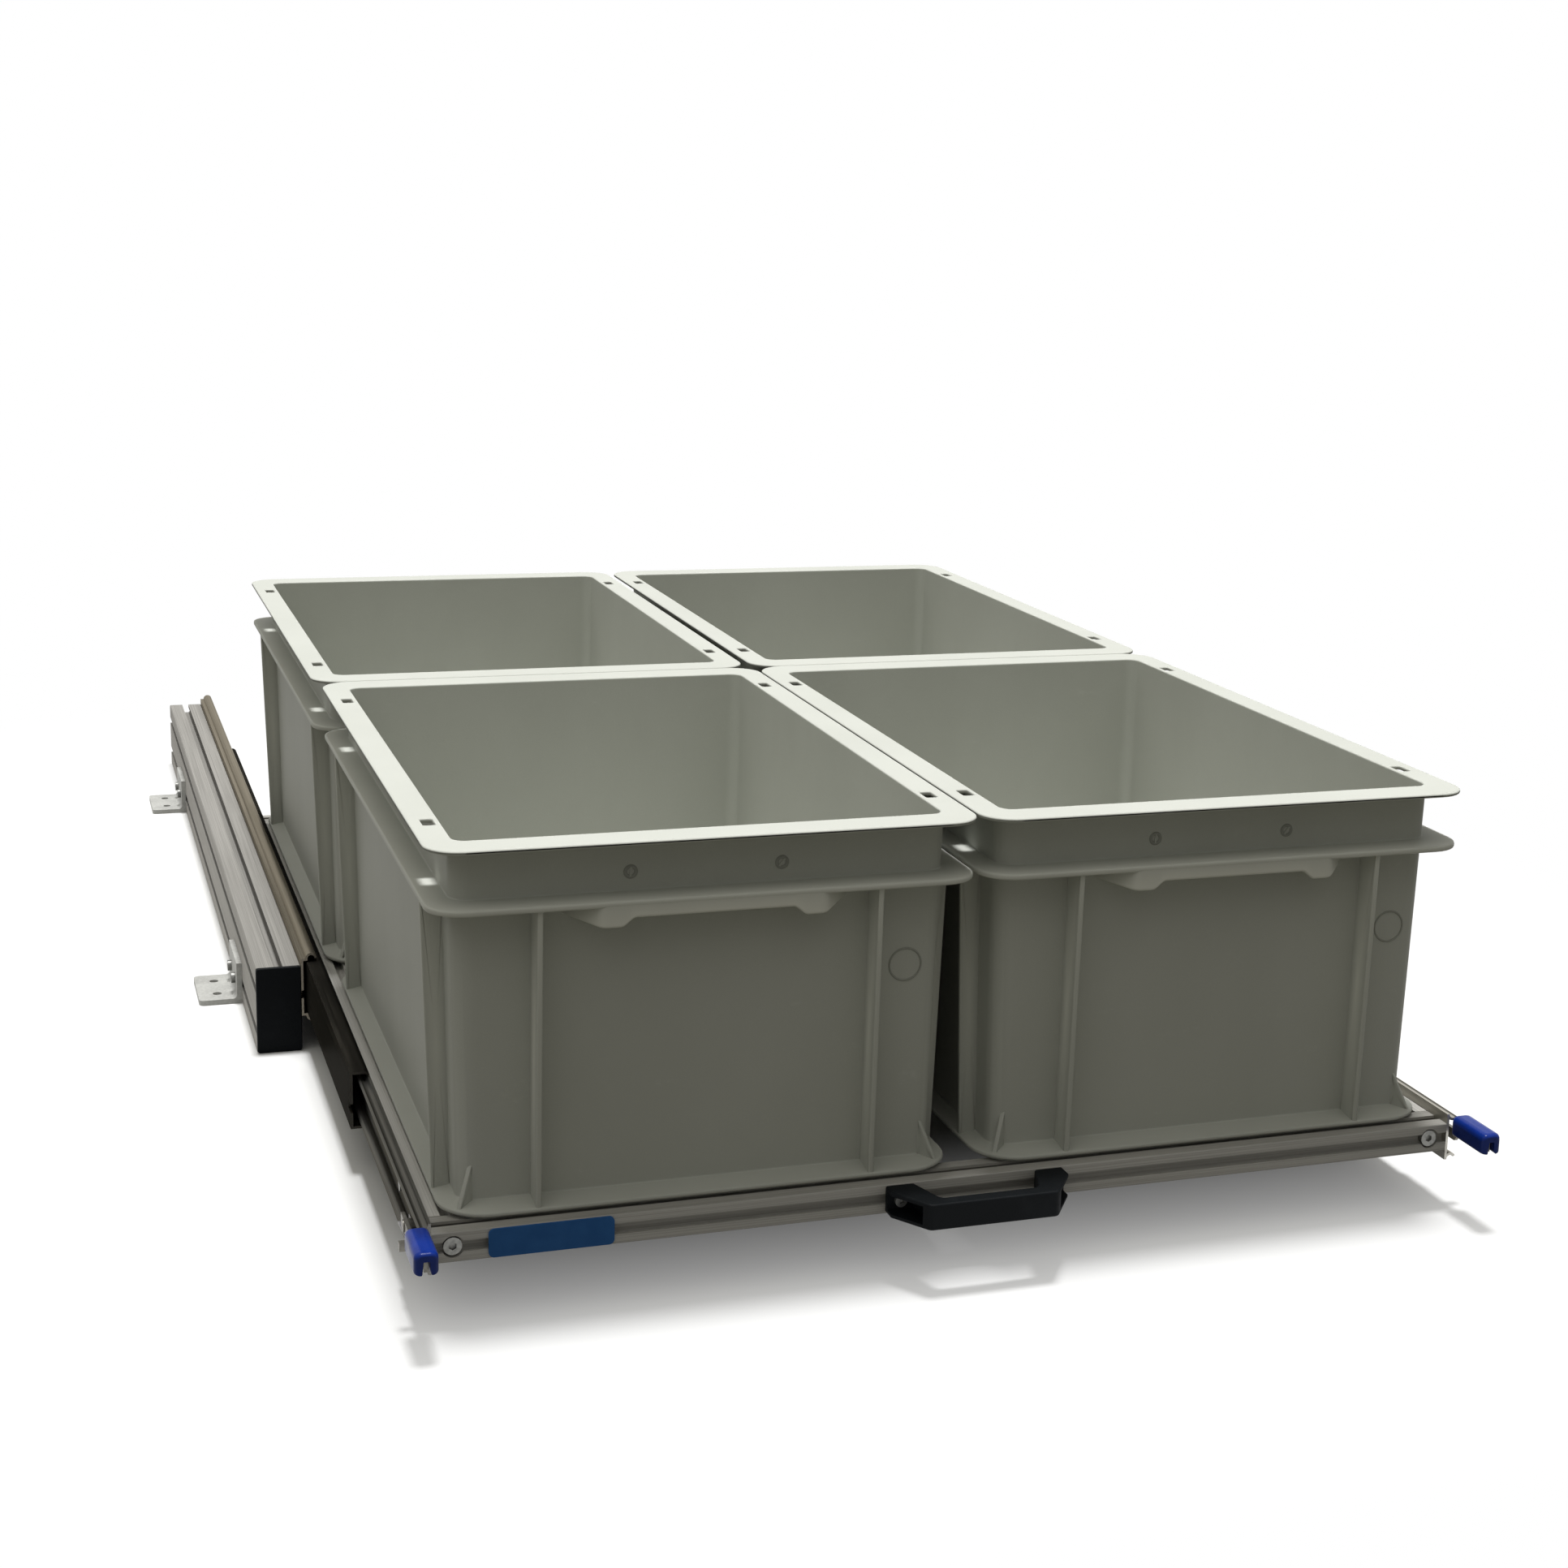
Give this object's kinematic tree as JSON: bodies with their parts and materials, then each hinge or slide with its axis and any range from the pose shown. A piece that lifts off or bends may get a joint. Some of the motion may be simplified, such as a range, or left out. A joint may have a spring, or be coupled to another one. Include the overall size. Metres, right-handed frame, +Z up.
{
  "type": "pull-out bin rack",
  "caption": "Floor-mounted pull-out drawer on telescopic slides: slotted aluminium rails and frame, release levers and a pull handle, carrying open stacking bins.",
  "frame": {"origin": "on the floor, under the middle of the bounding box as the unit stands with the drawer half out", "axes": "+X to the right seen from the handle, +Y from the handle to the back along the slides, +Z up"},
  "size_m": [1.004, 1.848, 0.3413],
  "materials": {
    "bin_plastic": "light silver-grey moulded polypropylene, satin",
    "rail_aluminium": "natural anodised extrusion, drawn along its length",
    "frame_aluminium": "natural anodised extrusion, drawn along its length",
    "cap_plastic": "black moulded, fine grain",
    "slide_steel": "zinc plated rolled strip",
    "retainer_steel": "zinc plated thin strip",
    "ball_steel": "polished bearing ball",
    "bracket_steel": "bright zinc plated angle",
    "fastener_steel": "bright zinc plated",
    "lever_plastic": "glossy royal blue",
    "lever_steel": "zinc plated",
    "spring_steel": "spring temper strip",
    "handle_plastic": "black glass-filled nylon, fine grain",
    "plate_plastic": "plain blue, satin gloss"
  },
  "bodies": {
    "fixed_rails": {"left_rail_profile": "rail_aluminium", "left_rail_end_cap": "cap_plastic", "left_outer_slide": "slide_steel", "left_outer_slide_screws": "fastener_steel", "left_outer_slide_nuts": "fastener_steel", "left_front_bracket": "bracket_steel", "left_rear_bracket": "bracket_steel", "left_bracket_screws": "fastener_steel", "left_bracket_nuts": "fastener_steel", "right_rail_profile": "rail_aluminium", "right_rail_end_cap": "cap_plastic", "right_outer_slide": "slide_steel", "right_outer_slide_screws": "fastener_steel", "right_outer_slide_nuts": "fastener_steel", "right_front_bracket": "bracket_steel", "right_rear_bracket": "bracket_steel", "right_bracket_screws": "fastener_steel", "right_bracket_nuts": "fastener_steel"},
    "drawer": {"left_frame_side_bar": "frame_aluminium", "left_inner_slide": "slide_steel", "left_inner_slide_screws": "fastener_steel", "left_inner_slide_nuts": "fastener_steel", "left_lever_pivot_stud": "lever_steel", "left_lever_spring": "spring_steel", "right_frame_side_bar": "frame_aluminium", "right_inner_slide": "slide_steel", "right_inner_slide_screws": "fastener_steel", "right_inner_slide_nuts": "fastener_steel", "right_lever_pivot_stud": "lever_steel", "right_lever_spring": "spring_steel", "frame_front_bar": "frame_aluminium", "frame_rear_bar": "frame_aluminium", "frame_middle_bar": "frame_aluminium", "frame_corner_screws": "fastener_steel", "frame_middle_screws": "fastener_steel", "pull_handle": "handle_plastic", "handle_screws": "fastener_steel", "handle_nuts": "fastener_steel", "front_plate": "plate_plastic"},
    "left_middle_member": {"left_middle_slide": "slide_steel"},
    "left_outer_cage": {"left_outer_ball_retainer": "retainer_steel", "left_outer_balls": "ball_steel"},
    "left_inner_cage": {"left_inner_ball_retainer": "retainer_steel", "left_inner_balls": "ball_steel"},
    "right_middle_member": {"right_middle_slide": "slide_steel"},
    "right_outer_cage": {"right_outer_ball_retainer": "retainer_steel", "right_outer_balls": "ball_steel"},
    "right_inner_cage": {"right_inner_ball_retainer": "retainer_steel", "right_inner_balls": "ball_steel"},
    "left_lever": {"left_lever_grip": "lever_plastic", "left_lever_strip": "lever_steel"},
    "right_lever": {"right_lever_grip": "lever_plastic", "right_lever_strip": "lever_steel"},
    "front_left_box": {"front_left_bin": "bin_plastic"},
    "front_right_box": {"front_right_bin": "bin_plastic"},
    "rear_left_box": {"rear_left_bin": "bin_plastic"},
    "rear_right_box": {"rear_right_bin": "bin_plastic"}
  },
  "joints": [
    {"name": "drawer_slide", "type": "slide", "parent": "fixed_rails", "child": "drawer", "axis": [0, -1, 0], "range_m": [-0.6, 0.6]},
    {"name": "left_middle_member_slide", "type": "slide", "parent": "fixed_rails", "child": "left_middle_member", "axis": [0, -1, 0], "range_m": [-0.3, 0.3]},
    {"name": "left_outer_cage_slide", "type": "slide", "parent": "fixed_rails", "child": "left_outer_cage", "axis": [0, -1, 0], "range_m": [-0.15, 0.15]},
    {"name": "left_inner_cage_slide", "type": "slide", "parent": "fixed_rails", "child": "left_inner_cage", "axis": [0, -1, 0], "range_m": [-0.45, 0.45]},
    {"name": "right_middle_member_slide", "type": "slide", "parent": "fixed_rails", "child": "right_middle_member", "axis": [0, -1, 0], "range_m": [-0.3, 0.3]},
    {"name": "right_outer_cage_slide", "type": "slide", "parent": "fixed_rails", "child": "right_outer_cage", "axis": [0, -1, 0], "range_m": [-0.15, 0.15]},
    {"name": "right_inner_cage_slide", "type": "slide", "parent": "fixed_rails", "child": "right_inner_cage", "axis": [0, -1, 0], "range_m": [-0.45, 0.45]},
    {"name": "left_lever_hinge", "type": "hinge", "parent": "drawer", "child": "left_lever", "pos_m": [-0.4115, -0.831, 0.06], "axis": [1, 0, 0], "range_deg": [0, 11], "stiffness_Nm_per_rad": 2, "springref_deg": -11.46, "deforming": ["left_lever_spring"]},
    {"name": "right_lever_hinge", "type": "hinge", "parent": "drawer", "child": "right_lever", "pos_m": [0.4115, -0.831, 0.06], "axis": [1, 0, 0], "range_deg": [0, 11], "stiffness_Nm_per_rad": 2, "springref_deg": -11.46, "deforming": ["right_lever_spring"]},
    {"name": "front_left_lift", "type": "slide", "parent": "drawer", "child": "front_left_box", "axis": [0, 0, 1], "range_m": [0, 0.3]},
    {"name": "front_right_lift", "type": "slide", "parent": "drawer", "child": "front_right_box", "axis": [0, 0, 1], "range_m": [0, 0.3]},
    {"name": "rear_left_lift", "type": "slide", "parent": "drawer", "child": "rear_left_box", "axis": [0, 0, 1], "range_m": [0, 0.3]},
    {"name": "rear_right_lift", "type": "slide", "parent": "drawer", "child": "rear_right_box", "axis": [0, 0, 1], "range_m": [0, 0.3]}
  ],
  "couplings": [
    {"joint": "left_middle_member_slide", "follows": "drawer_slide", "ratio": 0.5},
    {"joint": "left_outer_cage_slide", "follows": "drawer_slide", "ratio": 0.25},
    {"joint": "left_inner_cage_slide", "follows": "drawer_slide", "ratio": 0.75},
    {"joint": "right_middle_member_slide", "follows": "drawer_slide", "ratio": 0.5},
    {"joint": "right_outer_cage_slide", "follows": "drawer_slide", "ratio": 0.25},
    {"joint": "right_inner_cage_slide", "follows": "drawer_slide", "ratio": 0.75}
  ]
}
